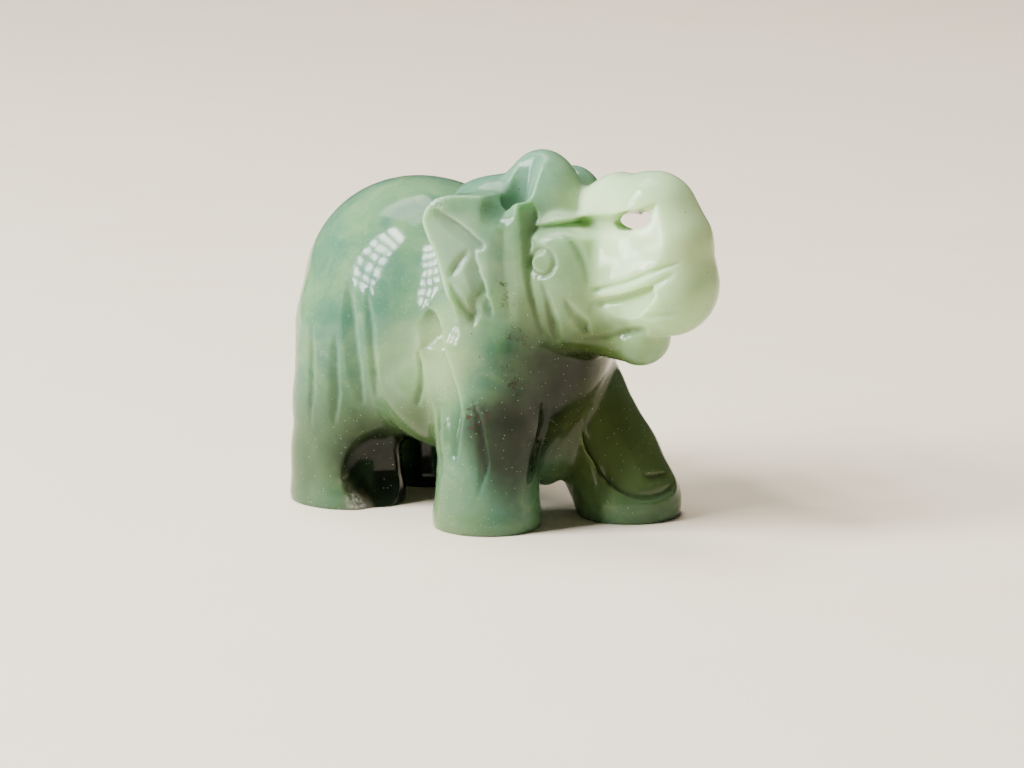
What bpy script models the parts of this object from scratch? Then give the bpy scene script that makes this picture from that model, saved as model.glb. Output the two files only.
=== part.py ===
"""A polished green stone elephant, carved from one pebble, walking with its trunk curled back over its head.

The real carving is one piece of stone, so the model is one solid. It faces -Y and stands on its flat
soles at Z = 0. Sizes below are in carving units, of which the whole length holds LENGTH_UNITS.
"""

import math

import bmesh
import bpy
from mathutils import Matrix, Vector
from mathutils.bvhtree import BVHTree

LENGTH = 0.0375  # trunk to rump, in metres
LENGTH_UNITS = 35.05
UNIT = LENGTH / LENGTH_UNITS

LEG_SIDE = 4.7  # centre line to the middle of a foot
HIND_FOOT_Y = 12.8
RIGHT_FORE_FOOT_Y = -0.8
LEFT_FORE_FOOT_Y = -6.3  # the left fore leg strides forward
FOOT_DEPTH = 1.5  # legs run this far under the floor before the soles are cut

BLEND_VOXEL = 0.42  # the forms are fused on a grid this fine
BLEND_PASSES = 14
FINAL_SHARE = 0.19  # share of the fused faces that the finished solid keeps

# name: centre, radii
ROUND_FORMS = {
    "barrel": ((0, 8.7, 14.1), (9.0, 9.3, 9.8)),
    "rump": ((0, 11.2, 16.2), (7.5, 6.7, 7.1)),
    "withers": ((0, 1.2, 13.6), (7.7, 8.1, 8.9)),
    "belly": ((0, 4.7, 9.4), (8.1, 5.4, 5.1)),
    "chest": ((0, -1.5, 11.0), (5.1, 3.6, 5.7)),
    "brisket": ((0.5, -1.9, 6.1), (2.2, 2.4, 4.0)),
    "neck": ((0, -1.2, 18.8), (7.4, 3.7, 7.1)),
    "right_nape": ((-4.2, -0.2, 22.6), (2.9, 2.9, 3.1)),
    "left_nape": ((4.2, -0.2, 22.6), (2.9, 2.9, 3.1)),
    "skull": ((0, -4.6, 18.4), (6.1, 5.3, 5.7)),
    "right_crown": ((-1.8, -3.6, 23.1), (3.0, 3.4, 4.5)),
    "left_crown": ((1.4, -3.8, 22.8), (2.3, 2.7, 3.5)),
    "right_cheek": ((-2.7, -6.3, 18.2), (3.3, 3.8, 4.9)),
    "left_cheek": ((2.7, -6.3, 18.2), (3.3, 3.8, 4.9)),
    "right_brow": ((-3.3, -6.2, 20.7), (2.4, 3.0, 2.7)),
    "left_brow": ((3.3, -6.2, 20.7), (2.4, 3.0, 2.7)),
}

# name: side squash, then the centre and radius of each station
LIMB_FORMS = {
    "right_hind_leg": (0.92, [
        ((-5.0, 11.8, 13.0), 4.6),
        ((-4.9, 12.6, 7.5), 4.2),
        ((-4.8, 12.9, 3.5), 4.2),
        ((-LEG_SIDE, HIND_FOOT_Y, 1.0), 4.5),
        ((-LEG_SIDE, HIND_FOOT_Y, -FOOT_DEPTH), 4.3),
    ]),
    "left_hind_leg": (0.92, [
        ((5.0, 11.8, 13.0), 4.6),
        ((4.9, 13.1, 7.5), 4.2),
        ((4.8, 13.4, 3.5), 4.2),
        ((LEG_SIDE, HIND_FOOT_Y + 0.5, 1.0), 4.5),
        ((LEG_SIDE, HIND_FOOT_Y + 0.5, -FOOT_DEPTH), 4.3),
    ]),
    "right_fore_leg": (1.0, [
        ((-4.8, -0.6, 13.0), 4.3),
        ((-4.75, -1.0, 7.0), 3.9),
        ((-4.7, -0.9, 3.5), 3.7),
        ((-LEG_SIDE, RIGHT_FORE_FOOT_Y, 1.0), 4.1),
        ((-LEG_SIDE, RIGHT_FORE_FOOT_Y, -FOOT_DEPTH), 3.9),
    ]),
    "left_fore_leg": (1.0, [
        ((3.8, 0.4, 12.5), 3.9),
        ((4.1, -2.1, 8.5), 3.5),
        ((4.6, -4.8, 3.8), 3.7),
        ((LEG_SIDE, LEFT_FORE_FOOT_Y, 1.2), 4.0),
        ((LEG_SIDE, LEFT_FORE_FOOT_Y - 0.3, -FOOT_DEPTH), 3.8),
    ]),
    "jaw": (1.15, [
        ((0, -6.2, 16.4), 3.7),
        ((0, -8.7, 15.4), 2.9),
        ((0, -11.3, 14.4), 2.1),
    ]),
    "trunk": (1.0, [
        ((0, -7.0, 18.6), 4.0),
        ((0, -10.4, 18.6), 3.8),
        ((0, -13.6, 18.5), 3.6),
        ((0, -13.2, 21.3), 3.5),
        ((0, -12.2, 23.2), 3.25),
        ((0, -9.0, 23.6), 2.4),
        ((0, -5.9, 23.3), 1.6),
    ]),
    "tail": (1.0, [
        ((0, 17.2, 18.8), 0.9),
        ((0, 17.7, 15.5), 0.9),
        ((0, 17.5, 12.0), 0.8),
        ((0, 16.9, 9.4), 1.0),
    ]),
}

# The ear's outline: forward, up
EAR_OUTLINE = [
    (-1.1, 22.8), (-0.8, 23.9), (0.1, 24.6), (1.8, 24.8), (3.2, 24.7), (4.4, 24.5), (5.3, 23.4), (5.5, 22.0),
    (5.8, 19.5), (6.1, 16.8), (5.9, 14.4), (4.2, 13.4), (2.4, 13.9), (1.2, 15.2), (0.6, 17.4), (0.0, 20.0),
    (-0.7, 21.6),
]
EAR_THICKNESS = 2.4
EAR_ROUNDING = 0.5
EAR_OUT = 7.8  # from the centre line to the ear's middle plane, at its back rim
EAR_TURN = math.radians(23)  # how far the ear closes in towards the face
EAR_LEAN = math.radians(-4)  # how far its top leans in
EAR_PIVOT_UP = 19.0
LEFT_EAR_SHIFT = (1.8, -0.9)  # the left ear lies further back and lower

# The see-through slot under the trunk, seen from the side: forward, up
TRUNK_SLOT = [
    (6.2, 22.65), (7.6, 23.2), (9.0, 23.5), (11.6, 24.0), (13.3, 24.2), (13.75, 23.7), (13.5, 23.1),
    (11.5, 22.6), (9.0, 22.15), (7.4, 22.2),
]
SLOT_LENGTH = 12.0
SLOT_SLANT = math.atan(0.12)  # the slot runs down towards the left
SLOT_PIVOT = (-3.0, 0.0, 23.0)

# The flat ground on each side of the trunk: forward, up
TRUNK_FLAT = [
    (9.6, 22.2), (10.2, 19.2), (13.4, 19.4), (15.6, 20.8), (17.6, 22.4), (17.0, 26.6), (13.4, 27.2),
    (11.0, 26.4),
]
FLAT_OUT = 2.95  # from the centre line to the flat, at its pivot
FLAT_LEAN = math.atan(0.24)
FLAT_PIVOT_UP = 21.3
FLAT_CUTTER = 4.0  # thickness of what is ground away

# Hollows ground with a wheel: centre, radii, and the turns in degrees about Y and then Z
HOLLOWS = {
    "right_hind_hollow": ((-6.9, 7.2, 2.9), (3.6, 3.3, 3.6), (0, -25)),
    "left_hind_hollow": ((6.9, 7.7, 2.9), (3.6, 3.3, 3.6), (0, 25)),
    "slot_drilling": ((3.6, -7.1, 21.9), (8.5, 1.25, 0.8), (11.5, 40)),
}

# The ring that a hollow drill leaves round each eye
EYE_FORWARD = 6.7
EYE_UP = 20.05
EYE_RADIUS = 0.92
EYE_GROOVE = 0.26  # half the groove's width, and its depth

OUTSIDE = 20.0  # further from the centre line than any form
FLOOR_CUTTER = (60, 60, 10)
SOFTENING = 0.5


def clear_scene():
    for obj in list(bpy.data.objects):
        bpy.data.objects.remove(obj, do_unlink=True)


def new_collection(name):
    collection = bpy.data.collections.new(name)
    bpy.context.scene.collection.children.link(collection)
    return collection


def scaled(point):
    return Vector(point) * UNIT


def stone_material():
    material = bpy.data.materials.new("green_aventurine")
    material.use_nodes = True
    shader = material.node_tree.nodes["Principled BSDF"]
    shader.inputs["Base Color"].default_value = (0.29, 0.45, 0.33, 1.0)
    shader.inputs["Roughness"].default_value = 0.15
    shader.inputs["Metallic"].default_value = 0.0
    return material


def add_round_form(bm, centre, radii):
    """One ellipsoid, added to the mesh that holds all the forms."""
    place = Matrix.Translation(scaled(centre)) @ Matrix.Diagonal((*scaled(radii), 1.0))
    bmesh.ops.create_uvsphere(bm, u_segments=40, v_segments=24, radius=1.0, matrix=place)


def closed_mesh_of(curve_object):
    """The curve as a closed mesh, with its caps welded on."""
    graph = bpy.context.evaluated_depsgraph_get()
    mesh = bpy.data.meshes.new_from_object(curve_object.evaluated_get(graph))
    mesh.transform(curve_object.matrix_world)
    bpy.data.objects.remove(curve_object, do_unlink=True)
    bm = bmesh.new()
    bm.from_mesh(mesh)
    bmesh.ops.remove_doubles(bm, verts=bm.verts, dist=1e-6)
    bm.to_mesh(mesh)
    bm.free()
    return mesh


def new_curve(name, collection, dimensions):
    data = bpy.data.curves.new(name, "CURVE")
    data.dimensions = dimensions
    obj = bpy.data.objects.new(name, data)
    collection.objects.link(obj)
    return obj


def add_limb_form(bm, collection, name, squash, stations):
    """A tapering round limb through its stations, rounded at both ends."""
    obj = new_curve(name, collection, "3D")
    obj.data.bevel_depth = 1.0
    obj.data.bevel_resolution = 6
    obj.data.use_fill_caps = True
    spline = obj.data.splines.new("POLY")
    spline.points.add(len(stations) - 1)
    for point, (centre, radius) in zip(spline.points, stations):
        point.co = (*scaled((centre[0] / squash, centre[1], centre[2])), 1.0)
        point.radius = radius * UNIT
    obj.scale.x = squash
    bpy.context.view_layer.update()
    bm.from_mesh(closed_mesh_of(obj))
    for centre, radius in stations:
        add_round_form(bm, centre, (radius * squash, radius, radius))


def flat_outline(name, collection, points, thickness, rounding):
    """A plate cut to an outline given as (forward, up), standing in the YZ plane."""
    obj = new_curve(name, collection, "2D")
    obj.data.fill_mode = "BOTH"
    obj.data.extrude = (thickness / 2 - rounding) * UNIT
    obj.data.bevel_depth = rounding * UNIT
    obj.data.offset = -rounding * UNIT
    obj.data.bevel_resolution = 2
    spline = obj.data.splines.new("POLY")
    spline.use_cyclic_u = True
    spline.points.add(len(points) - 1)
    for point, (forward, up) in zip(spline.points, points):
        point.co = (*scaled((-forward, up, 0)), 1.0)
    obj.rotation_euler = (math.radians(90), 0, math.radians(90))
    bpy.context.view_layer.update()
    return closed_mesh_of(obj)


def add_ear(bm, collection, side):
    """The ear's plate, turned to lie along the neck. side is -1 on the right and 1 on the left."""
    plate = flat_outline("ear_plate", collection, EAR_OUTLINE, EAR_THICKNESS, EAR_ROUNDING)
    to_pivot = Matrix.Translation(scaled((0, 0, -EAR_PIVOT_UP)))
    turn = Matrix.Rotation(-side * EAR_TURN, 4, "Z") @ Matrix.Rotation(-side * EAR_LEAN, 4, "Y")
    back, up = LEFT_EAR_SHIFT if side > 0 else (0.0, 0.0)
    plate.transform(Matrix.Translation(scaled((side * EAR_OUT, back, EAR_PIVOT_UP + up))) @ turn @ to_pivot)
    bm.from_mesh(plate)


def rough_forms(collection):
    """All the overlapping forms of the carving, as one mesh of closed shells."""
    bm = bmesh.new()
    for centre, radii in ROUND_FORMS.values():
        add_round_form(bm, centre, radii)
    for name, (squash, stations) in LIMB_FORMS.items():
        add_limb_form(bm, collection, name, squash, stations)
    for side in (-1, 1):
        add_ear(bm, collection, side)
    mesh = bpy.data.meshes.new("elephant_carving")
    bm.to_mesh(mesh)
    bm.free()
    return mesh


def blended(mesh, collection):
    """The forms fused into one skin, softened where they meet, with the faces it doesn't need taken out."""
    obj = bpy.data.objects.new("rough_forms", mesh)
    collection.objects.link(obj)
    fuse = obj.modifiers.new("fuse", "REMESH")
    fuse.mode = "VOXEL"
    fuse.voxel_size = BLEND_VOXEL * UNIT
    soften = obj.modifiers.new("soften", "SMOOTH")
    soften.factor = SOFTENING
    soften.iterations = BLEND_PASSES
    thin_out = obj.modifiers.new("thin_out", "DECIMATE")
    thin_out.ratio = FINAL_SHARE
    thin_out.use_collapse_triangulate = True
    bpy.context.view_layer.update()
    graph = bpy.context.evaluated_depsgraph_get()
    skin = bpy.data.meshes.new_from_object(obj.evaluated_get(graph))
    bpy.data.objects.remove(obj, do_unlink=True)
    skin.name = "elephant_carving"
    return skin


def add_cutter(mesh, name, collection):
    obj = bpy.data.objects.new(name, mesh)
    collection.objects.link(obj)
    obj.hide_render = True
    obj.display_type = "WIRE"
    return obj


def cut(obj, cutter):
    boolean = obj.modifiers.new(cutter.name, "BOOLEAN")
    boolean.operation = "DIFFERENCE"
    boolean.solver = "EXACT"
    boolean.object = cutter


def floor_cutter(collection):
    """Everything under the soles."""
    bm = bmesh.new()
    size = Matrix.Diagonal((*scaled(FLOOR_CUTTER), 1.0))
    place = Matrix.Translation(scaled((0, 0, -FLOOR_CUTTER[2] / 2))) @ size
    bmesh.ops.create_cube(bm, size=1.0, matrix=place)
    mesh = bpy.data.meshes.new("below_soles")
    bm.to_mesh(mesh)
    bm.free()
    return add_cutter(mesh, "below_soles", collection)


def slot_cutter(collection):
    mesh = flat_outline("trunk_slot", collection, TRUNK_SLOT, SLOT_LENGTH, 0.0)
    pivot = Matrix.Translation(scaled(SLOT_PIVOT))
    mesh.transform(pivot @ Matrix.Rotation(SLOT_SLANT, 4, "Y") @ pivot.inverted())
    return add_cutter(mesh, "trunk_slot", collection)


def flat_cutter(collection, side):
    """What is ground off one side of the trunk."""
    name = "right_trunk_flat" if side < 0 else "left_trunk_flat"
    mesh = flat_outline(name, collection, TRUNK_FLAT, FLAT_CUTTER, 0.0)
    pivot = Matrix.Translation(scaled((side * FLAT_OUT, 0, FLAT_PIVOT_UP)))
    outward = Matrix.Translation(scaled((side * FLAT_CUTTER / 2, 0, -FLAT_PIVOT_UP)))
    mesh.transform(pivot @ Matrix.Rotation(-side * FLAT_LEAN, 4, "Y") @ outward)
    return add_cutter(mesh, name, collection)


def hollow_cutter(collection, name, centre, radii, turns):
    """An ellipsoid that a grinding wheel or a slanted drill leaves."""
    about_y, about_z = [math.radians(turn) for turn in turns]
    turn = Matrix.Rotation(about_z, 4, "Z") @ Matrix.Rotation(about_y, 4, "Y")
    place = Matrix.Translation(scaled(centre)) @ turn @ Matrix.Diagonal((*scaled(radii), 1.0))
    bm = bmesh.new()
    bmesh.ops.create_uvsphere(bm, u_segments=32, v_segments=20, radius=1.0, matrix=place)
    mesh = bpy.data.meshes.new(name)
    bm.to_mesh(mesh)
    bm.free()
    return add_cutter(mesh, name, collection)


def eye_cutter(collection, skin, side):
    """A ring lying on the head's surface, which cuts the groove round one eye."""
    surface = BVHTree.FromPolygons([v.co for v in skin.vertices], [p.vertices for p in skin.polygons])
    start = scaled((side * OUTSIDE, -EYE_FORWARD, EYE_UP))
    place, normal, _, _ = surface.ray_cast(start, Vector((-side, 0, 0)))
    bpy.ops.mesh.primitive_torus_add(
        major_radius=EYE_RADIUS * UNIT, minor_radius=EYE_GROOVE * UNIT, major_segments=32, minor_segments=8,
    )
    ring = bpy.context.object
    mesh = ring.data
    mesh.transform(Matrix.Translation(place) @ normal.to_track_quat("Z", "Y").to_matrix().to_4x4())
    bpy.data.objects.remove(ring, do_unlink=True)
    return add_cutter(mesh, "right_eye_ring" if side < 0 else "left_eye_ring", collection)


def centring_shift(mesh):
    """How far the mesh moves along X and Y to stand centred on the origin."""
    middle = [0.0, 0.0, 0.0]
    for axis in (0, 1):
        places = [vertex.co[axis] for vertex in mesh.vertices]
        middle[axis] = (min(places) + max(places)) / 2
    return -Vector(middle)


def build():
    clear_scene()
    carving = new_collection("green_stone_elephant")
    cutters = new_collection("cutters")
    skin = blended(rough_forms(carving), carving)
    obj = bpy.data.objects.new("elephant_carving", skin)
    carving.objects.link(obj)
    obj.location = centring_shift(skin)
    details = [slot_cutter(cutters)]
    details += [hollow_cutter(cutters, name, *form) for name, form in HOLLOWS.items()]
    for side in (-1, 1):
        details.append(flat_cutter(cutters, side))
        details.append(eye_cutter(cutters, skin, side))
    for detail in details:
        detail.location = obj.location
        cut(obj, detail)
    cut(obj, floor_cutter(cutters))
    skin.materials.append(stone_material())
    skin.shade_smooth()


build()
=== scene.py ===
import math

import bpy
import numpy as np
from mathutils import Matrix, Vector


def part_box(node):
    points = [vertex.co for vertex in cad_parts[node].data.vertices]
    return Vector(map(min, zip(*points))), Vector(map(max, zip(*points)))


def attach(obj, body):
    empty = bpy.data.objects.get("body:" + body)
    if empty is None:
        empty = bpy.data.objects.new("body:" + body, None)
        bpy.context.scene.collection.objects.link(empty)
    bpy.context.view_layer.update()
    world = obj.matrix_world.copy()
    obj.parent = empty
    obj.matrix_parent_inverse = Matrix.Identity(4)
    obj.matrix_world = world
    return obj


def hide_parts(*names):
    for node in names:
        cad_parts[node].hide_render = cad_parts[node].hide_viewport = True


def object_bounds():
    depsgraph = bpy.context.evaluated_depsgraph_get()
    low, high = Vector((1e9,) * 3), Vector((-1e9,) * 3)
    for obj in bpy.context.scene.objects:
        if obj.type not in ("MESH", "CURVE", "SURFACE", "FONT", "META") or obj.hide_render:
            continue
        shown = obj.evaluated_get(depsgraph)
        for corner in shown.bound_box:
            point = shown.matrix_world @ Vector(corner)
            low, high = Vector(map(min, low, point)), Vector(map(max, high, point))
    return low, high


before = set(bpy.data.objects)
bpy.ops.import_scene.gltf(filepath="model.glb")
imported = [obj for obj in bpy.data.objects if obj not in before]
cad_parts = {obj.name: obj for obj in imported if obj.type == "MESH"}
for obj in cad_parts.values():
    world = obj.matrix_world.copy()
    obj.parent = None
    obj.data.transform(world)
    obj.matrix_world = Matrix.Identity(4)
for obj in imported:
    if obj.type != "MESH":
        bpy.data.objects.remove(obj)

CAD_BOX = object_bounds()
NODE = "elephant_carving"

# The carving is worked out in carving units, of which its length holds LENGTH_UNITS. It faces -Y.
LENGTH_UNITS = 35.52
UNIT = (CAD_BOX[1][1] - CAD_BOX[0][1]) / LENGTH_UNITS
GRID_STEP = 0.15
STONE_LOW = (-10.6, -18.6, -1.0)  # the block that the carving fits in
STONE_HIGH = (10.6, 19.4, 28.0)
OUTSIDE = 30.0  # a distance larger than any in the block
LEG_SIDE = 4.7  # centre line to the middle of a foot
LEFT_STEP = 0.5  # how far the left hind foot is behind the right


# ---------------------------------------------------------------- distance fields

class Field:
    """The stone as a signed distance field on a grid: negative inside, in carving units."""

    def __init__(self, low, high, step):
        self.low = np.array(low, float)
        self.step = step
        self.count = np.ceil((np.array(high, float) - self.low) / step).astype(int) + 1
        self.axes = [
            (self.low[i] + step * np.arange(self.count[i])).astype(np.float32) for i in range(3)
        ]
        self.d = np.full(self.count, OUTSIDE, np.float32)

    def window(self, low, high):
        """The slice of the grid between two corners, and the coordinates of its points."""
        cut = []
        for i in range(3):
            first = int(np.clip(np.floor((low[i] - self.low[i]) / self.step), 0, self.count[i] - 1))
            last = int(np.clip(np.ceil((high[i] - self.low[i]) / self.step) + 1, first + 1, self.count[i]))
            cut.append(slice(first, last))
        x, y, z = np.ix_(*[self.axes[i][cut[i]] for i in range(3)])
        return tuple(cut), (x, y, z)

    def everywhere(self):
        high = self.low + self.step * (self.count - 1)
        return self.window(self.low, high)

    def add(self, shape, blend, low=None, high=None):
        """Joins a shape on, rounding the join over the blend distance."""
        cut, grid = self.window(low, high) if low else self.everywhere()
        self.d[cut] = smooth_min(self.d[cut], shape(*grid), blend)

    def grind(self, shape, blend, low=None, high=None):
        """Takes a shape away, easing the edge over the blend distance."""
        cut, grid = self.window(low, high) if low else self.everywhere()
        self.d[cut] = -smooth_min(-self.d[cut], shape(*grid), blend)

    def press(self, depth, low, high):
        """Sinks the surface by the depth that the function gives at each point."""
        cut, grid = self.window(low, high)
        self.d[cut] += depth(*grid).astype(np.float32)


def smooth_min(a, b, blend):
    share = np.clip(0.5 + 0.5 * (b - a) / blend, 0, 1)
    return b + (a - b) * share - blend * share * (1 - share)


def turned(x, y, z, centre, turn):
    """Coordinates about a centre, in a frame turned by degrees about X, then Y, then Z."""
    x, y, z = x - centre[0], y - centre[1], z - centre[2]
    if turn is None:
        return x, y, z
    rx, ry, rz = [math.radians(angle) for angle in turn]
    x, y = x * math.cos(rz) + y * math.sin(rz), y * math.cos(rz) - x * math.sin(rz)
    x, z = x * math.cos(ry) - z * math.sin(ry), z * math.cos(ry) + x * math.sin(ry)
    y, z = y * math.cos(rx) + z * math.sin(rx), z * math.cos(rx) - y * math.sin(rx)
    return x, y, z


def ellipsoid(centre, radii, turn=None):
    def shape(x, y, z):
        x, y, z = turned(x, y, z, centre, turn)
        near = np.sqrt((x / radii[0]) ** 2 + (y / radii[1]) ** 2 + (z / radii[2]) ** 2)
        slope = np.sqrt((x / radii[0] ** 2) ** 2 + (y / radii[1] ** 2) ** 2 + (z / radii[2] ** 2) ** 2)
        return near * (near - 1) / np.maximum(slope, 1e-6)
    return shape


def limb(stations, squash=1.0, blend=0.6):
    """Round cones through (centre, radius) stations. squash is the side-to-side share of the radius."""
    def shape(x, y, z):
        whole = None
        for (start, first), (end, last) in zip(stations, stations[1:]):
            sx, sy, sz = (x - start[0]) / squash, y - start[1], z - start[2]
            bx, by, bz = (end[0] - start[0]) / squash, end[1] - start[1], end[2] - start[2]
            along = np.clip((sx * bx + sy * by + sz * bz) / (bx * bx + by * by + bz * bz), 0, 1)
            gap = np.sqrt((sx - along * bx) ** 2 + (sy - along * by) ** 2 + (sz - along * bz) ** 2)
            part = (gap - first - (last - first) * along) * min(squash, 1.0)
            whole = part if whole is None else smooth_min(whole, part, blend)
        return whole
    return shape


def smooth_outline(points, count=5, closed=True):
    """A Catmull-Rom curve through points, as an array."""
    points = [np.array(point, float) for point in points]
    total = len(points)
    out = []
    for i in range(total if closed else total - 1):
        if closed:
            a, b, c, d = (points[(i + k) % total] for k in (-1, 0, 1, 2))
        else:
            a, b, c, d = (points[min(max(i + k, 0), total - 1)] for k in (-1, 0, 1, 2))
        for t in np.arange(count) / count:
            bend = (2 * a - 5 * b + 4 * c - d) * t**2 + (3 * b - a - 3 * c + d) * t**3
            out.append(0.5 * (2 * b + (c - a) * t + bend))
    if not closed:
        out.append(points[-1])
    return np.array(out)


def outline_distance(u, v, points):
    """Signed distance in a plane to a closed outline, negative inside."""
    nearest = np.full(np.broadcast(u, v).shape, 1e6, np.float32)
    inside = np.zeros(nearest.shape, bool)
    for a, b in zip(points, np.roll(points, -1, axis=0)):
        edge = b - a
        along = np.clip(((u - a[0]) * edge[0] + (v - a[1]) * edge[1]) / (edge @ edge + 1e-12), 0, 1)
        nearest = np.minimum(nearest, (u - a[0] - along * edge[0]) ** 2 + (v - a[1] - along * edge[1]) ** 2)
        if a[1] != b[1]:
            crosses = (a[1] <= v) != (b[1] <= v)
            inside ^= crosses & (u < a[0] + (v - a[1]) * edge[0] / edge[1])
    return np.where(inside, -1, 1) * np.sqrt(nearest)


def path_distance(u, v, path):
    """Distance in a plane to an open path, positive on its left, and how far along its nearest point is."""
    shape = np.broadcast(u, v).shape
    nearest = np.full(shape, 1e6, np.float32)
    side = np.ones(shape, np.float32)
    along = np.zeros(shape, np.float32)
    for i, (a, b) in enumerate(zip(path, path[1:])):
        edge = b - a
        t = np.clip(((u - a[0]) * edge[0] + (v - a[1]) * edge[1]) / (edge @ edge + 1e-12), 0, 1)
        gap = (u - a[0] - t * edge[0]) ** 2 + (v - a[1] - t * edge[1]) ** 2
        closer = gap < nearest
        nearest = np.where(closer, gap, nearest)
        side = np.where(closer, np.sign(edge[0] * (v - a[1]) - edge[1] * (u - a[0])), side)
        along = np.where(closer, (i + t) / (len(path) - 1), along)
    return np.sqrt(nearest) * side, along


# ---------------------------------------------------------------- grinding tools

FADE_IN = 0.6  # a cut reaches its full depth this far outside the plane it starts from
END_WIDTH = 0.3  # share of a cut's width that is left at its very ends


def groove(stone, side, path, depth, left, right=None, inner=3.0, ends=(0.3, 0.3), power=1.0, view="side"):
    """Grinds a tapering V-shaped cut into the surface.

    The path's points are (forward, up) for the side view, or (across, up) for the front view. left and right
    are the cut's half-widths on each side of the path. inner is how far from the middle plane the cut starts,
    or for the front view how far forward.
    """
    right = left if right is None else right
    route = smooth_outline(path, closed=False)
    reach = max(left, right) + 0.2
    (u_low, v_low), (u_high, v_high) = route.min(axis=0) - reach, route.max(axis=0) + reach

    def sink(x, y, z):
        first, out = (-y, side * x) if view == "side" else (x, -y)
        across, along = path_distance(first, z, route)
        taper = np.clip(np.minimum(along / ends[0], (1 - along) / ends[1]), 0, 1) ** 0.7
        width = np.where(across > 0, left, right) * (END_WIDTH + (1 - END_WIDTH) * taper)
        share = np.clip(1 - np.abs(across) / width, 0, 1)
        return depth * taper * share**power * np.clip((out - inner) / FADE_IN, 0, 1)

    if view == "side":
        across = sorted((side * inner, side * STONE_HIGH[0]))
        stone.press(sink, (across[0], -u_high, v_low), (across[1], -u_low, v_high))
    else:
        stone.press(sink, (u_low, STONE_LOW[1], v_low), (u_high, -inner, v_high))


def facet(stone, side, outline, out_at, blend=0.12):
    """Grinds a flat inside a (forward, up) outline, down to out_at(forward, up) from the middle plane."""
    edge = smooth_outline(outline, count=3)

    def waste(x, y, z):
        return np.maximum(outline_distance(-y, z, edge), out_at(-y, z) - side * x)

    across = sorted((side * 1.5, side * 10.0))
    (f_low, z_low), (f_high, z_high) = edge.min(axis=0) - 0.6, edge.max(axis=0) + 0.6
    stone.grind(waste, blend, (across[0], -f_high, z_low), (across[1], -f_low, z_high))


def scallop(stone, centre, radii, turn=None, blend=0.18):
    """A hollow left by a grinding wheel."""
    reach = max(radii) + 0.5
    low = [c - reach for c in centre]
    high = [c + reach for c in centre]
    stone.grind(ellipsoid(centre, radii, turn), blend, low, high)


# ---------------------------------------------------------------- the forms of the animal

def add_torso(stone):
    stone.add(ellipsoid((0, 8.7, 14.1), (8.9, 9.2, 9.7)), 1.0)
    stone.add(ellipsoid((0, 11.2, 16.2), (7.4, 6.6, 7.0)), 2.0)
    stone.add(ellipsoid((0, 1.2, 13.6), (7.6, 8.0, 8.8)), 1.5)
    stone.add(ellipsoid((0, 4.7, 9.3), (8.1, 5.4, 5.1)), 1.0)
    stone.add(ellipsoid((0, -1.5, 11.0), (5.0, 3.5, 5.6)), 1.5)
    stone.add(ellipsoid((0.5, -1.9, 6.1), (2.1, 2.3, 3.9)), 0.8)
    # the tail, in relief
    stone.add(limb([
        ((0, 17.2, 18.8), 0.7),
        ((0, 17.7, 15.5), 0.75),
        ((0, 17.5, 12.0), 0.6),
        ((0, 16.9, 9.4), 0.85),
    ]), 0.4)


def add_legs(stone):
    for side, step in ((-1, 0.0), (1, LEFT_STEP)):
        stone.add(limb([
            ((side * 5.0, 11.8, 13.0), 4.5),
            ((side * 4.9, 12.6 + step, 7.5), 4.1),
            ((side * 4.8, 12.9 + step, 3.5), 4.1),
            ((side * LEG_SIDE, 12.8 + step, 0.8), 4.5),
        ], squash=0.92), 1.2)
    stone.add(limb([
        ((-4.8, -0.6, 13.0), 4.2),
        ((-4.75, -1.0, 7.0), 3.8),
        ((-4.7, -0.9, 3.5), 3.6),
        ((-LEG_SIDE, -0.8, 0.8), 4.0),
    ]), 1.2)
    stone.add(limb([
        ((3.8, 0.4, 12.5), 3.8),
        ((4.1, -2.1, 8.5), 3.4),
        ((4.6, -4.8, 3.8), 3.6),
        ((LEG_SIDE, -6.4, 1.0), 3.9),
    ]), 1.0)


def add_head(stone):
    stone.add(ellipsoid((0, -1.2, 18.8), (7.3, 3.6, 7.0)), 0.8)
    stone.add(ellipsoid((0, -4.6, 18.4), (6.0, 5.2, 5.6)), 1.0)
    # the two domes of the crown
    stone.add(ellipsoid((1.4, -3.8, 22.8), (2.1, 2.5, 3.1)), 0.7)
    stone.add(ellipsoid((-1.8, -3.6, 23.1), (2.8, 3.2, 4.3)), 0.2)
    for side in (-1, 1):
        stone.add(ellipsoid((side * 4.2, -0.2, 22.4), (2.6, 3.0, 2.8)), 1.8)
        stone.add(ellipsoid((side * 2.7, -6.3, 18.2), (3.2, 3.7, 4.8), (0, 0, side * 10)), 0.8)
        stone.add(ellipsoid((side * 3.3, -6.2, 20.7), (2.3, 2.9, 2.6)), 0.6)
    # the lower jaw
    stone.add(limb([((0, -6.2, 16.4), 3.7), ((0, -11.2, 14.4), 2.0)], squash=1.15), 1.3)


def add_trunk(stone):
    stone.add(limb([
        ((0, -7.0, 18.6), 4.0),
        ((0, -13.6, 18.5), 3.5),
        ((0, -13.2, 21.3), 3.4),
        ((0, -12.2, 23.2), 3.15),
        ((0, -9.2, 23.5), 2.45),
        ((0, -5.9, 23.2), 1.4),
    ]), 0.6)


LEFT_EAR_SHIFT = (1.8, 0.9)  # the left ear lies this far back and down
EAR_OUTLINE = [
    (-1.1, 22.8), (-0.8, 23.9), (0.1, 24.5), (1.8, 24.6), (3.2, 24.5), (4.4, 24.4), (5.2, 23.4), (5.4, 22.0),
    (5.8, 19.5), (6.1, 16.8), (5.9, 14.4), (4.2, 13.4), (2.4, 13.9), (1.2, 15.2), (0.6, 17.4), (0.0, 20.0),
    (-0.7, 21.6),
]


def ear_shift(side):
    return LEFT_EAR_SHIFT if side > 0 else (0.0, 0.0)


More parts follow.
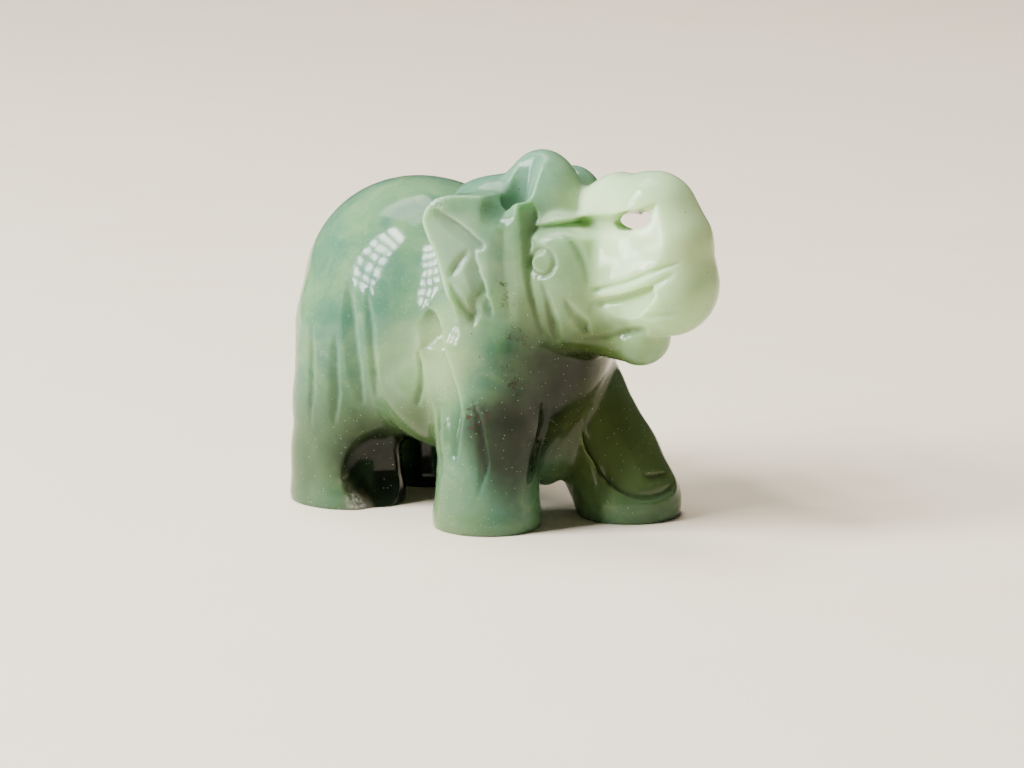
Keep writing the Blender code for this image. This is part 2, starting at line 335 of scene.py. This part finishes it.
def ear(side):
    outline = smooth_outline(EAR_OUTLINE)
    back, drop = ear_shift(side)

    def shape(x, y, z):
        forward = back - y
        z = z + drop
        middle = 7.95 - (forward - 1.0) * 0.6 - np.maximum(z - 20, 0) * 0.15 - np.maximum(17.5 - z, 0) * 0.32
        across = np.abs(side * x - middle) * 0.95 - 0.6
        around = outline_distance(forward, z, outline) + 0.4
        outside = np.sqrt(np.maximum(across, 0) ** 2 + np.maximum(around, 0) ** 2)
        return outside + np.minimum(np.maximum(across, around), 0) - 0.4
    return shape


def add_ears(stone):
    for side in (-1, 1):
        corners = sorted((side * 3.5, side * 10.5))
        stone.add(ear(side), 0.8, (corners[0], -8.5, 10.0), (corners[1], 4.4, 26.5))


# ---------------------------------------------------------------- the ground details

TRUNK_FLAT = [
    (8.0, 22.5), (8.8, 20.9), (9.5, 19.4), (9.8, 18.1), (10.6, 18.3), (13.4, 19.6), (15.2, 21.0),
    (15.6, 22.4), (15.3, 24.6), (13.4, 24.3), (11.0, 23.2),
]
JAW_FLAT = [(9.7, 17.4), (12.0, 17.9), (14.2, 18.6), (15.0, 18.3), (13.6, 16.9), (11.6, 15.9), (9.9, 15.4)]
RIGHT_SLOT = [
    (9.8, 22.9), (11.0, 23.6), (12.4, 24.05), (13.4, 24.1), (13.8, 23.7), (13.5, 23.1), (12.0, 22.65),
    (10.8, 22.5),
]
LEFT_SLOT = [
    (6.2, 22.65), (7.6, 23.2), (9.0, 23.5), (11.6, 24.0), (13.3, 24.2), (13.75, 23.7), (13.5, 23.1),
    (11.5, 22.6), (9.0, 22.15), (7.4, 22.2),
]
SLOT_SLANT = 0.12  # the slot runs down towards the left, this much for each unit across
SLOT_PIVOT = 3.0  # on the right side, where the outlines lie


def trunk_flat_out(forward, up):
    """The flat leans in at the top, and rises at the back to meet the cheek."""
    return 2.95 + 0.24 * (21.3 - up) + 0.24 * np.maximum(11.4 - forward, 0) ** 1.6


def grind_trunk(stone):
    for side in (-1, 1):
        lower = 0.0 if side < 0 else 2 * SLOT_PIVOT * SLOT_SLANT
        facet(stone, side, TRUNK_FLAT, trunk_flat_out)
        facet(stone, side, JAW_FLAT, lambda forward, up: 2.9 + 0.3 * np.maximum(11.8 - forward, 0) ** 1.4)
        # the groove that leads back from the slot between brow and trunk
        route = [(5.2, 22.2), (7.4, 22.6), (9.6, 22.9), (12.6, 23.4)]
        groove(stone, side, [(forward, up - lower) for forward, up in route], 1.25, 0.55, 1.1, inner=1.0,
               ends=(0.6, 0.1))
        # the mouth, and folds on the trunk's outer curve
        groove(stone, side, [(8.6, 14.6), (10.2, 14.8), (11.9, 15.3), (13.4, 15.7)], 0.28, 0.3, 0.5,
               inner=0.3, ends=(0.5, 0.1))
        groove(stone, side, [(13.6, 16.5), (15.0, 16.9), (16.4, 17.2)], 0.2, 0.3, 0.3, inner=0.4)
        # the tusk, left standing between two cuts
        groove(stone, side, [(9.8, 18.2), (12.4, 19.0), (14.8, 20.1), (16.4, 20.8)], 0.34, 0.22, 0.3,
               inner=1.6, ends=(0.06, 0.3))
        groove(stone, side, [(9.9, 17.2), (12.4, 18.0), (14.6, 19.0), (16.0, 19.9)], 0.36, 0.3, 0.5,
               inner=1.6, ends=(0.06, 0.3))
    grind_slot(stone, RIGHT_SLOT, -6.2, 0.2)
    grind_slot(stone, LEFT_SLOT, 0.0, 6.2)
    # the slot was opened up from the left with a drill held at a slant
    scallop(stone, (3.6, -7.3, 21.9), (8.5, 1.0, 0.62), (0, 11.5, 40))


def grind_slot(stone, outline, right, left):
    """The see-through slot under the trunk, between two distances across."""
    edge = smooth_outline(outline, count=4)

    def waste(x, y, z):
        return outline_distance(-y, z + SLOT_SLANT * (x + SLOT_PIVOT), edge)

    stone.grind(waste, 0.12, (right, -14.5, 19.8), (left, -5.6, 25.6))


def grind_face(stone):
    for side in (-1, 1):
        # where the ear's front edge lies against the face
        back, drop = ear_shift(side)
        edge = [(4.9, 24.0), (5.3, 22.6), (5.6, 20.6), (5.9, 18.6), (6.2, 16.6), (6.3, 14.4)]
        groove(stone, side, [(forward - back, up - drop) for forward, up in edge], 0.3, 0.3, 0.25, inner=3.5,
               ends=(0.15, 0.25))
        # cheek folds
        groove(stone, side, [(6.8, 18.9), (7.2, 17.2), (7.2, 15.8), (7.0, 14.2)], 0.42, 0.75, 0.18, inner=2.0,
               ends=(0.6, 0.3))
        groove(stone, side, [(8.4, 17.7), (8.8, 16.3), (9.1, 14.9)], 0.4, 0.6, 0.18, inner=1.8,
               ends=(0.6, 0.3))
        eye_ring(stone, side)
        groove(stone, side, [(6.1, 22.0), (5.9, 21.4), (6.3, 21.1), (6.8, 21.2)], 0.2, 0.17, 0.17, inner=3.5)


EYE = (6.7, 20.05)
EYE_RADIUS = 0.92


def eye_ring(stone, side):
    """The ring that a hollow drill leaves, with a rounded button inside it."""
    def sink(x, y, z):
        out = np.sqrt((-y - EYE[0]) ** 2 + (z - EYE[1]) ** 2)
        ring = 0.28 * np.clip(1 - np.abs(out - EYE_RADIUS) / 0.24, 0, 1)
        return ring * np.clip((side * x - 3.0) / 0.6, 0, 1)

    across = sorted((side * 3.0, side * 8.0))
    stone.press(sink, (across[0], -EYE[0] - 1.4, EYE[1] - 1.4), (across[1], -EYE[0] + 1.4, EYE[1] + 1.4))


EAR_CUTS = [
    ([(-0.3, 23.6), (1.4, 22.3), (3.0, 20.9)], 0.55, 0.25, 0.7, (0.4, 0.12)),
    ([(2.3, 21.0), (2.6, 19.4), (3.0, 18.0), (3.4, 16.0)], 0.5, 0.2, 0.75, (0.3, 0.3)),
    ([(2.0, 20.9), (1.3, 19.8), (0.9, 18.8)], 0.4, 0.55, 0.22, (0.3, 0.3)),
    ([(2.9, 18.4), (2.2, 17.0), (2.0, 15.4)], 0.4, 0.6, 0.2, (0.3, 0.3)),
    ([(0.9, 18.4), (1.5, 16.8), (2.3, 15.2)], 0.35, 0.5, 0.2, (0.3, 0.3)),
    ([(4.0, 22.8), (4.1, 20.5), (4.3, 18.0), (4.4, 15.6)], 0.3, 0.9, 0.9, (0.3, 0.3)),
]


def grind_ears(stone):
    """Leaf-shaped cuts for the ears' folds."""
    for side in (-1, 1):
        back, drop = ear_shift(side)
        for path, depth, left, right, ends in EAR_CUTS:
            shifted = [(forward - back, up - drop) for forward, up in path]
            groove(stone, side, shifted, depth, left, right, inner=5.0, ends=ends)
    notch_behind_crown(stone)


def notch_behind_crown(stone):
    """The V that runs across between the ears' tops and the domes of the head."""
    def sink(x, y, z):
        share = np.clip(1 - np.abs(-y - 3.6) / 1.1, 0, 1)
        return 1.15 * share * np.clip((z - 22.3) / 1.4, 0, 1) * np.clip((np.abs(x) - 2.6) / 1.2, 0, 1)

    stone.press(sink, (-9.8, -4.8, 22.2), (9.8, -2.4, 27.0))


def grind_body(stone):
    for side in (-1, 1):
        ahead = 0.0 if side < 0 else 1.2
        # behind the shoulder, whose edge runs on down the leg
        route = [(-2.6, 15.8), (-1.2, 14.6), (-0.2, 12.8), (0.5, 10.8), (0.9, 9.0), (1.0, 7.2), (1.0, 5.4)]
        groove(stone, side, [(forward + ahead, up) for forward, up in route], 1.3, 0.9, 2.6, inner=4.5,
               ends=(0.2, 0.4))
        # in front of the haunch
        groove(stone, side, [(-9.2, 17.4), (-8.6, 14.4), (-8.5, 11.4), (-8.9, 8.0)], 0.5, 0.5, 0.9, inner=4.5)
        groove(stone, side, [(-7.4, 16.9), (-6.9, 14.0), (-7.0, 11.0), (-7.5, 8.6)], 0.28, 0.4, 0.4,
               inner=4.5)
        # wrinkles on the haunch and hind leg
        groove(stone, side, [(-12.2, 13.8), (-12.6, 10.0), (-12.9, 6.0)], 0.25, 0.5, 0.4, inner=5.5,
               power=1.3)
        groove(stone, side, [(-9.9, 13.4), (-10.4, 10.0), (-10.8, 6.4)], 0.3, 0.3, 0.6, inner=5.5)
        groove(stone, side, [(-3.2 + ahead, 13.0), (-2.9 + ahead, 10.6), (-3.3 + ahead, 8.6)], 0.28, 0.25,
               0.4, inner=5.0)


def grind_legs(stone):
    # right fore leg: thin cuts on its outside and a hollow down its front
    groove(stone, -1, [(2.7, 9.6), (3.1, 7.6), (3.2, 5.4), (2.7, 2.9)], 0.3, 0.18, 0.4, inner=5.0)
    groove(stone, -1, [(-0.9, 9.0), (-0.7, 6.4), (-0.8, 3.6)], 0.22, 0.3, 0.3, inner=5.5)
    groove(stone, -1, [(-3.6, 9.6), (-2.6, 7.4), (-3.4, 5.0), (-4.6, 3.4)], 0.35, 0.18, 1.3, inner=1.0,
           ends=(0.4, 0.4), view="front")
    # left fore leg: the hollow down its front ends in a toe, which has a nick
    route = [(1.6, 8.6), (1.3, 6.2), (1.3, 4.2), (1.7, 2.5), (2.8, 1.9), (4.4, 2.0), (6.0, 2.6)]
    groove(stone, 1, route, 0.5, 1.7, 0.18, inner=3.6, ends=(0.25, 0.25), view="front")
    groove(stone, 1, [(3.2, 3.5), (4.4, 3.4), (5.4, 3.3)], 0.3, 0.12, 0.5, inner=5.0, view="front")
    groove(stone, 1, [(1.6, 9.4), (3.0, 6.4), (4.4, 3.6)], 0.25, 0.35, 0.35, inner=5.5)
    # hind legs
    for side, step in ((-1, 0.0), (1, LEFT_STEP)):
        scallop(stone, (side * 6.9, 7.2 + step, 2.9), (3.6, 3.3, 3.6), (0, 0, side * 25))


def cut_soles(stone):
    stone.d = np.maximum(stone.d, -stone.axes[2])


def carve():
    stone = Field(STONE_LOW, STONE_HIGH, GRID_STEP)
    add_torso(stone)
    add_legs(stone)
    add_head(stone)
    add_trunk(stone)
    add_ears(stone)
    grind_trunk(stone)
    grind_face(stone)
    grind_ears(stone)
    grind_body(stone)
    grind_legs(stone)
    cut_soles(stone)
    return stone


# ---------------------------------------------------------------- from field to mesh

def sampled(stone, points):
    """The field's value at each point, between its grid points."""
    place = (points - stone.low) / stone.step
    base = np.clip(np.floor(place).astype(int), 0, stone.count - 2)
    share = place - base
    value = np.zeros(len(points))
    for i in (0, 1):
        for j in (0, 1):
            for k in (0, 1):
                near = [np.abs(1 - corner - share[:, axis]) for axis, corner in enumerate((i, j, k))]
                value += near[0] * near[1] * near[2] * stone.d[base[:, 0] + i, base[:, 1] + j, base[:, 2] + k]
    return value


def skin_of(stone):
    """Surface nets: a point in each cell that the surface crosses, and a face across each crossed edge."""
    inside = stone.d < 0
    cells = np.array(stone.d.shape) - 1
    corners = [(i, j, k) for i in (0, 1) for j in (0, 1) for k in (0, 1)]

    def at(corner, values):
        return values[tuple(slice(corner[i], corner[i] + cells[i]) for i in range(3))]

    filled = sum(at(corner, inside).astype(np.int8) for corner in corners)
    crossed = (filled > 0) & (filled < 8)
    number = np.full(cells, -1, np.int32)
    places = np.argwhere(crossed)
    number[crossed] = np.arange(len(places))
    values = {corner: at(corner, stone.d)[crossed].astype(float) for corner in corners}
    total = np.zeros((len(places), 3))
    hits = np.zeros(len(places))
    for start in corners:
        for axis in range(3):
            if start[axis]:
                continue
            end = tuple(1 if i == axis else start[i] for i in range(3))
            crosses = (values[start] < 0) != (values[end] < 0)
            gap = np.where(crosses, values[start] - values[end], 1)
            point = np.tile(np.array(start, float), (len(places), 1))
            point[:, axis] += np.where(crosses, values[start] / gap, 0)
            total += point * crosses[:, None]
            hits += crosses
    points = (places + total / hits[:, None]) * stone.step + stone.low
    faces = []
    for axis in range(3):
        others = [i for i in range(3) if i != axis]
        first = [slice(1, -1)] * 3
        last = [slice(1, -1)] * 3
        first[axis] = slice(0, -1)
        last[axis] = slice(1, None)
        start = inside[tuple(first)]
        base = np.argwhere(start != inside[tuple(last)])
        leaves = start[tuple(base.T)]
        base[:, others] += 1
        ring = []
        for offset in ((-1, -1), (0, -1), (0, 0), (-1, 0)):
            cell = base.copy()
            cell[:, others] += offset
            ring.append(number[tuple(cell.T)])
        face = np.stack(ring, axis=1)
        turn = leaves if axis == 1 else ~leaves
        face[turn] = face[turn][:, ::-1]
        faces.append(face)
    return points, np.concatenate(faces)


def settled(stone, points, rounds=3):
    """The points moved onto the surface along the field's slope."""
    reach = np.eye(3) * stone.step * 0.6
    for _ in range(rounds):
        value = sampled(stone, points)
        rises = [sampled(stone, points + push) - sampled(stone, points - push) for push in reach]
        slope = np.stack(rises, axis=1)
        slope /= 2 * stone.step * 0.6
        step = np.clip(value / np.maximum((slope**2).sum(axis=1), 0.3), -stone.step, stone.step)
        points = points - slope * step[:, None]
    return points


def mesh_object(name, points, faces):
    mesh = bpy.data.meshes.new(name)
    mesh.from_pydata(points.tolist(), [], faces.tolist())
    mesh.shade_smooth()
    obj = bpy.data.objects.new(name, mesh)
    bpy.context.scene.collection.objects.link(obj)
    return obj


def fitted(points):
    """Carving units to metres: as long as the CAD model, centred on it and standing on its floor."""
    low, high = [np.array(corner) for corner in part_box(NODE)]
    size = points.max(axis=0) - points.min(axis=0)
    middle = (points.max(axis=0) + points.min(axis=0)) / 2
    scale = (high[1] - low[1]) / size[1]
    return (points - (middle[0], middle[1], 0)) * scale


# ---------------------------------------------------------------- materials

class Nodes:
    """Short calls for building a material's node tree."""

    def __init__(self, name):
        self.material = bpy.data.materials.new(name)
        self.material.use_nodes = True
        self.tree = self.material.node_tree
        self.shader = self.tree.nodes["Principled BSDF"]
        self.place = self.add("ShaderNodeTexCoord").outputs["Object"]

    def add(self, kind, **settings):
        node = self.tree.nodes.new(kind)
        for key, value in settings.items():
            setattr(node, key, value)
        return node

    def feed(self, socket, value):
        if hasattr(value, "links"):
            self.tree.links.new(value, socket)
        else:
            socket.default_value = value

    def math(self, operation, *values):
        node = self.add("ShaderNodeMath", operation=operation)
        for socket, value in zip(node.inputs, values):
            self.feed(socket, value)
        return node.outputs[0]

    def vector(self, operation, first, second):
        node = self.add("ShaderNodeVectorMath", operation=operation)
        self.feed(node.inputs[0], first)
        self.feed(node.inputs[3 if operation == "SCALE" else 1], second)
        return node.outputs["Value" if operation == "DISTANCE" else "Vector"]

    def noise(self, scale, detail=4.0, roughness=0.5, distortion=0.0):
        """Noise whose scale is in cycles a metre."""
        node = self.add("ShaderNodeTexNoise")
        self.feed(node.inputs["Vector"], self.place)
        node.inputs["Scale"].default_value = scale
        node.inputs["Detail"].default_value = detail
        node.inputs["Roughness"].default_value = roughness
        node.inputs["Distortion"].default_value = distortion
        return node.outputs["Fac"]

    def cells(self, scale):
        """A net of random cells, with scale cells a metre."""
        node = self.add("ShaderNodeTexVoronoi")
        self.feed(node.inputs["Vector"], self.place)
        node.inputs["Scale"].default_value = scale
        return node

    def ramp(self, value, low, high):
        """0 at low, 1 at high, smooth between."""
        node = self.add("ShaderNodeMapRange", interpolation_type="SMOOTHSTEP")
        self.feed(node.inputs["Value"], value)
        node.inputs["From Min"].default_value = low
        node.inputs["From Max"].default_value = high
        return node.outputs["Result"]

    def mix(self, share, first, second):
        node = self.add("ShaderNodeMix", data_type="RGBA")
        self.feed(node.inputs[0], share)
        self.feed(node.inputs[6], first)
        self.feed(node.inputs[7], second)
        return node.outputs[2]

    def near(self, place, centre, inner, outer):
        """1 within inner metres of a point, 0 beyond outer."""
        gap = self.vector("DISTANCE", place, centre)
        return self.ramp(gap, outer, inner)


WANDER = 0.006  # metres, for the whole range of the noise that pushes the zones about


def spot(forward, up, across):
    """A place on the carving in metres. Zones can do without the small shift that centres the mesh."""
    return (across * UNIT, -forward * UNIT, up * UNIT)


def stone_material():
    n = Nodes("polished_green_aventurine")
    shader = n.shader
    drift = n.add("ShaderNodeTexNoise")
    n.feed(drift.inputs["Vector"], n.place)
    drift.inputs["Scale"].default_value = 130
    drift.inputs["Detail"].default_value = 4
    # zones wander, so that no edge between them is round
    pushed = n.vector("SUBTRACT", drift.outputs["Color"], (0.5, 0.5, 0.5))
    wander = n.vector("ADD", n.place, n.vector("SCALE", pushed, WANDER))
    cloud = n.ramp(n.noise(150, detail=6, roughness=0.6, distortion=0.8), 0.36, 0.66)
    veil = n.ramp(n.noise(420, detail=5, roughness=0.65, distortion=1.2), 0.42, 0.72)
    base = n.mix(cloud, (0.060, 0.162, 0.100, 1), (0.120, 0.232, 0.112, 1))
    base = n.mix(n.math("MULTIPLY", veil, 0.28), base, (0.24, 0.35, 0.16, 1))
    # blends in the zones: the stone's own tone, and the painted shade listed among them
    for place, inner, outer, share, color in TONE_AND_SHADE_ZONES:
        near = n.math("MULTIPLY", n.near(wander, spot(*place), inner * UNIT, outer * UNIT), share)
        base = n.mix(near, base, (*color, 1))
    rust = rust_share(n, wander)
    base = n.mix(n.math("MULTIPLY", rust, 0.85), base, (0.040, 0.016, 0.006, 1))
    specks = scattered(n, 1500, 0.90, 0.12)
    base = n.mix(n.math("MULTIPLY", specks, 0.7), base, (0.02, 0.025, 0.01, 1))
    flecks = n.math("MAXIMUM", scattered(n, 2600, 0.86, 0.13), scattered(n, 4600, 0.86, 0.2))
    base = n.mix(n.math("MULTIPLY", flecks, 0.3), base, (0.80, 0.90, 0.78, 1))
    frost = frost_share(n, wander)
    base = n.mix(n.math("MULTIPLY", frost, 0.6), base, (0.72, 0.78, 0.70, 1))
    n.feed(shader.inputs["Base Color"], base)
    smear = n.noise(900, detail=4, roughness=0.6)
    shine = n.math("ADD", n.math("MULTIPLY", smear, 0.10), 0.06)
    shine = n.math("ADD", shine, n.math("MULTIPLY", frost, 0.32))
    shine = n.math("ADD", shine, n.math("MULTIPLY", rust, 0.10))
    n.feed(shader.inputs["Roughness"], shine)
    shader.inputs["IOR"].default_value = 1.5
    shader.inputs["Specular IOR Level"].default_value = 0.24
    shader.inputs["Subsurface Weight"].default_value = 0.8
    shader.inputs["Subsurface Radius"].default_value = (0.75, 1.0, 0.62)
    shader.inputs["Subsurface Scale"].default_value = 0.0022
    n.feed(shader.inputs["Normal"], stone_bump(n, frost, rust, smear))
    return n.material


# (forward, up, across), full within, gone beyond, how strong, colour; lengths in carving units. Most zones
# are the stone's own tone; the ones marked below are painted shade where the body shades itself.
TONE_AND_SHADE_ZONES = [
    ((13.0, 20.5, 0), 2.5, 10.5, 0.88, (0.50, 0.72, 0.36)),
    ((14.8, 22.0, 0), 1.0, 7.0, 0.55, (0.60, 0.72, 0.42)),
    ((9.5, 22.8, 0), 1.0, 5.5, 0.60, (0.56, 0.72, 0.44)),
    ((7.5, 18.6, -6), 1.0, 5.0, 0.75, (0.12, 0.19, 0.085)),
    # painted shade: darkens the lower jaw, most of all its underside
    ((8.4, 14.2, 0), 2.0, 6.0, 0.92, (0.070, 0.110, 0.022)),
    # painted shade: darkens the lower end of the near cheek fold, along the jaw
    ((7.0, 15.4, -5), 0.8, 3.6, 0.80, (0.055, 0.085, 0.028)),
    ((3.0, 25.0, -2), 2.0, 5.5, 0.45, (0.14, 0.28, 0.20)),
    ((1.8, 20.0, -8.5), 2.0, 4.6, 0.60, (0.30, 0.44, 0.29)),
    ((-2.0, 12.0, -8), 2.0, 5.5, 0.50, (0.22, 0.32, 0.14)),
    ((-12.5, 3.0, -5), 2.0, 11.0, 0.92, (0.045, 0.072, 0.026)),
    # painted shade: near-black on the chest under the jaw and on the near fore leg's upper front, which face
    # away from the window
    ((6.4, 9.2, -1.2), 2.4, 8.6, 0.99, (0.004, 0.008, 0.002)),
    ((5.0, 6.6, -6.4), 1.8, 5.4, 0.94, (0.006, 0.013, 0.004)),
    # painted shade: darkens the inside of the far fore leg, between the fore legs
    ((7.0, 5.0, 4), 2.5, 9.0, 0.90, (0.060, 0.085, 0.022)),
    # painted shade: near-black on the fronts of both hind legs, under the belly
    ((-8.0, 3.0, -4), 2.8, 5.8, 0.98, (0.003, 0.006, 0.002)),
    ((-8.0, 3.0, 3), 2.8, 5.8, 0.95, (0.004, 0.008, 0.002)),
    # painted shade: darkens the near side under the belly, behind the near fore leg
    ((-3.6, 6.0, -8.5), 1.6, 6.5, 0.85, (0.055, 0.085, 0.030)),
    ((1.0, 0.4, -7.0), 1.8, 4.4, 0.75, (0.10, 0.15, 0.06)),
    ((0.5, 13.5, -8.0), 1.5, 4.5, 0.50, (0.26, 0.34, 0.16)),
    ((-8.8, 0.8, -7.4), 0.4, 1.8, 0.70, (0.22, 0.19, 0.14)),
]


def scattered(n, scale, rarity, size):
    """Little spots, one in some of the cells of a net with scale cells a metre."""
    cell = n.cells(scale)
    apart = n.add("ShaderNodeSeparateColor")
    n.feed(apart.inputs[0], cell.outputs["Color"])
    chosen = n.math("GREATER_THAN", apart.outputs[0], rarity)
    return n.math("MULTIPLY", chosen, n.ramp(cell.outputs["Distance"], size, size * 0.5))


def any_of(n, places, wander):
    """1 inside any of the (centre, inner, outer) places, fading to 0 outside them."""
    whole = None
    for place, inner, outer in places:
        near = n.near(wander, spot(*place), inner * UNIT, outer * UNIT)
        whole = near if whole is None else n.math("MAXIMUM", whole, near)
    return whole


def rust_share(n, wander):
    """Rusty specks below the cheek, along the shoulder and down the near fore leg."""
    grain = n.noise(1900, detail=8, roughness=0.85, distortion=0.6)
    where = any_of(n, RUST, wander)
    return n.ramp(n.math("ADD", grain, n.math("MULTIPLY", where, 0.20)), 0.67, 0.76)


RUST = [
    ((3.4, 8.6, -7.8), 0.3, 3.0), ((4.6, 11.0, -6.0), 0.3, 2.6), ((5.4, 14.2, -5.6), 0.2, 2.4),
    ((4.6, 17.0, -6.4), 0.0, 2.2), ((0.2, 7.6, -8.6), 0.0, 2.0),
]


def frost_share(n, wander):
    """Where the wheel's marks were left unpolished."""
    grain = n.ramp(n.noise(3200, detail=5, roughness=0.8), 0.40, 0.62)
    return n.math("MULTIPLY", any_of(n, FROST, wander), grain)


FROST = [
    ((-0.4, 23.8, -8.4), 0.6, 2.0), ((0.4, 22.4, -8.4), 0.2, 1.4), ((9.4, 22.9, -3.0), 0.3, 1.6),
    ((-8.8, 1.0, -7.6), 0.3, 1.3), ((-0.4, 23.8, 8.4), 0.6, 2.0), ((9.4, 22.0, 3.0), 0.3, 1.6),
]


def stone_bump(n, frost, rust, smear):
    """Hand-polished unevenness, fine scratches, and the pits of frosted and rusty patches."""
    ripple = n.noise(330, detail=2, roughness=0.4)
    pits = n.math("MULTIPLY", n.math("MAXIMUM", frost, rust), -0.35)
    height = n.math("ADD", n.math("ADD", ripple, pits), n.math("MULTIPLY", smear, 0.05))
    bump = n.add("ShaderNodeBump")
    bump.inputs["Strength"].default_value = 0.6
    bump.inputs["Distance"].default_value = 0.00012
    n.feed(bump.inputs["Height"], height)
    return bump.outputs["Normal"]


def floor_material():
    n = Nodes("pale_floor")
    grain = n.noise(60, detail=3)
    n.feed(n.shader.inputs["Base Color"], n.mix(grain, (0.85, 0.72, 0.55, 1), (0.89, 0.77, 0.61, 1)))
    n.shader.inputs["Roughness"].default_value = 0.6
    return n.material


# ---------------------------------------------------------------- floor, light and camera

VIEW_AZIMUTH = math.radians(-50.0)
VIEW_ELEVATION = math.radians(11.5)
VIEW_DISTANCE = 0.325
LENS = 147.7
VIEW_TARGET = Vector((-0.00063, -0.0004, 0.0102))


def direction(azimuth, elevation):
    """From the object towards a place seen at these angles. Azimuth 0 is in front of it, at -Y."""
    flat = math.cos(elevation)
    return Vector((math.sin(azimuth) * flat, -math.cos(azimuth) * flat, math.sin(elevation)))


def aimed(obj, place, target):
    obj.location = place
    obj.rotation_euler = (Vector(target) - Vector(place)).to_track_quat("-Z", "Y").to_euler()
    bpy.context.scene.collection.objects.link(obj)


def add_camera():
    data = bpy.data.cameras.new("view_camera")
    data.sensor_width = 36.0
    data.lens = LENS
    data.clip_start = 0.01
    data.clip_end = 10.0
    camera = bpy.data.objects.new("view_camera", data)
    aimed(camera, VIEW_TARGET + direction(VIEW_AZIMUTH, VIEW_ELEVATION) * VIEW_DISTANCE, VIEW_TARGET)
    bpy.context.scene.camera = camera


def add_softbox(name, azimuth, elevation, distance, width, height, power, color):
    data = bpy.data.lights.new(name, "AREA")
    data.shape = "RECTANGLE"
    data.size = width
    data.size_y = height
    data.energy = power
    data.color = color
    lamp = bpy.data.objects.new(name, data)
    place = direction(math.radians(azimuth), math.radians(elevation)) * distance
    aimed(lamp, place, (0, 0, 0.012))


def add_studio():
    bpy.ops.mesh.primitive_plane_add(size=4.0)
    floor = bpy.context.object
    floor.name = "floor"
    floor.data.materials.append(floor_material())
    world = bpy.data.worlds.new("studio")
    world.use_nodes = True
    world.node_tree.nodes["Background"].inputs["Color"].default_value = (0.94, 0.91, 0.87, 1)
    world.node_tree.nodes["Background"].inputs["Strength"].default_value = 0.11
    bpy.context.scene.world = world
    add_window()
    add_softbox("overhead", 165, 74, 0.9, 0.5, 0.5, 8.0, (1.0, 0.95, 0.88))


PANES = (3, 7)  # across and up
FIRST_PANE = (-129, 16)  # azimuth and elevation in degrees
PANE_STEP = (9, 7.5)
PANE_DISTANCE = 0.7
PANE_SIZE = 0.058
PANE_POWER = 0.85


def add_window():
    """A window's panes, behind the camera's left shoulder."""
    for column in range(PANES[0]):
        for row in range(PANES[1]):
            azimuth = FIRST_PANE[0] + PANE_STEP[0] * column
            elevation = FIRST_PANE[1] + PANE_STEP[1] * row
            add_softbox(f"pane_{column}_{row}", azimuth, elevation, PANE_DISTANCE, PANE_SIZE, PANE_SIZE,
                        PANE_POWER, (0.95, 0.98, 1.0))


def main():
    add_camera()
    add_studio()
    stone = carve()
    points, faces = skin_of(stone)
    points = settled(stone, points)
    elephant = mesh_object("elephant_stone", fitted(points), faces)
    elephant.data.materials.append(stone_material())
    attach(elephant, "root")
    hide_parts(NODE)


main()
